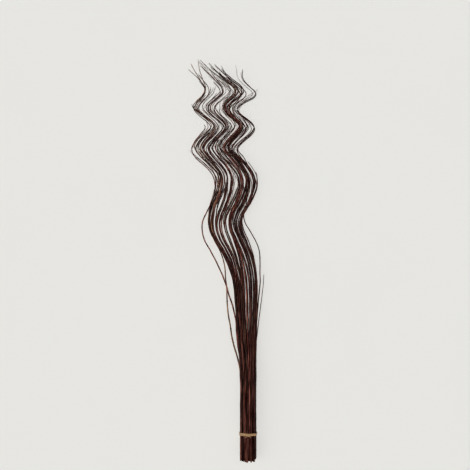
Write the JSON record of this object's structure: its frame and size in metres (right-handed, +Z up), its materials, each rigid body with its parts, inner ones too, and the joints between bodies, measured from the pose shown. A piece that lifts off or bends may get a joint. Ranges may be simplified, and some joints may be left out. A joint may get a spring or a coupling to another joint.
{
  "type": "bunch of curly willow branches",
  "caption": "Bunch of thin wavy dried willow branches, tied near the cut ends and lying flat, its tips fanned out.",
  "frame": {"origin": "on the floor, under the middle of the bunch's box", "axes": "+Y along the branches from the cut ends to the tips, +Z up from the floor that the bunch lies on, +X to the side"},
  "size_m": [0.2598, 1.37, 0.0536],
  "materials": {
    "bark_dark": "dark brown bark, slightly glossy",
    "bark_russet": "red-brown bark, slightly glossy",
    "bark_olive": "dull olive-brown bark",
    "twine": "twisted natural twine"
  },
  "bodies": {
    "root": {"binding": "twine", "branch_01": "bark_olive", "branch_02": "bark_dark", "branch_03": "bark_russet", "branch_04": "bark_olive", "branch_05": "bark_dark", "branch_06": "bark_russet", "branch_07": "bark_olive", "branch_08": "bark_russet", "branch_09": "bark_olive", "branch_10": "bark_dark", "branch_11": "bark_dark", "branch_12": "bark_russet", "branch_13": "bark_dark", "branch_14": "bark_dark", "branch_15": "bark_dark", "branch_16": "bark_russet", "branch_17": "bark_russet", "branch_18": "bark_dark", "branch_19": "bark_russet", "branch_20": "bark_dark", "branch_21": "bark_dark", "branch_22": "bark_dark", "branch_23": "bark_olive", "branch_24": "bark_olive", "branch_25": "bark_dark", "branch_26": "bark_russet", "branch_27": "bark_russet", "branch_28": "bark_dark", "branch_29": "bark_russet", "branch_30": "bark_dark", "branch_31": "bark_russet", "branch_32": "bark_russet", "branch_33": "bark_dark", "branch_34": "bark_dark", "branch_35": "bark_dark", "branch_36": "bark_dark", "branch_37": "bark_olive", "branch_38": "bark_russet", "branch_39": "bark_russet", "branch_40": "bark_dark", "branch_41": "bark_dark", "branch_42": "bark_russet", "branch_43": "bark_russet", "branch_44": "bark_dark", "branch_45": "bark_olive", "branch_46": "bark_russet", "branch_47": "bark_dark", "branch_48": "bark_russet", "branch_49": "bark_dark", "branch_50": "bark_dark", "branch_51": "bark_dark", "branch_52": "bark_russet", "branch_53": "bark_dark", "branch_54": "bark_russet", "branch_55": "bark_dark"}
  },
  "joints": []
}
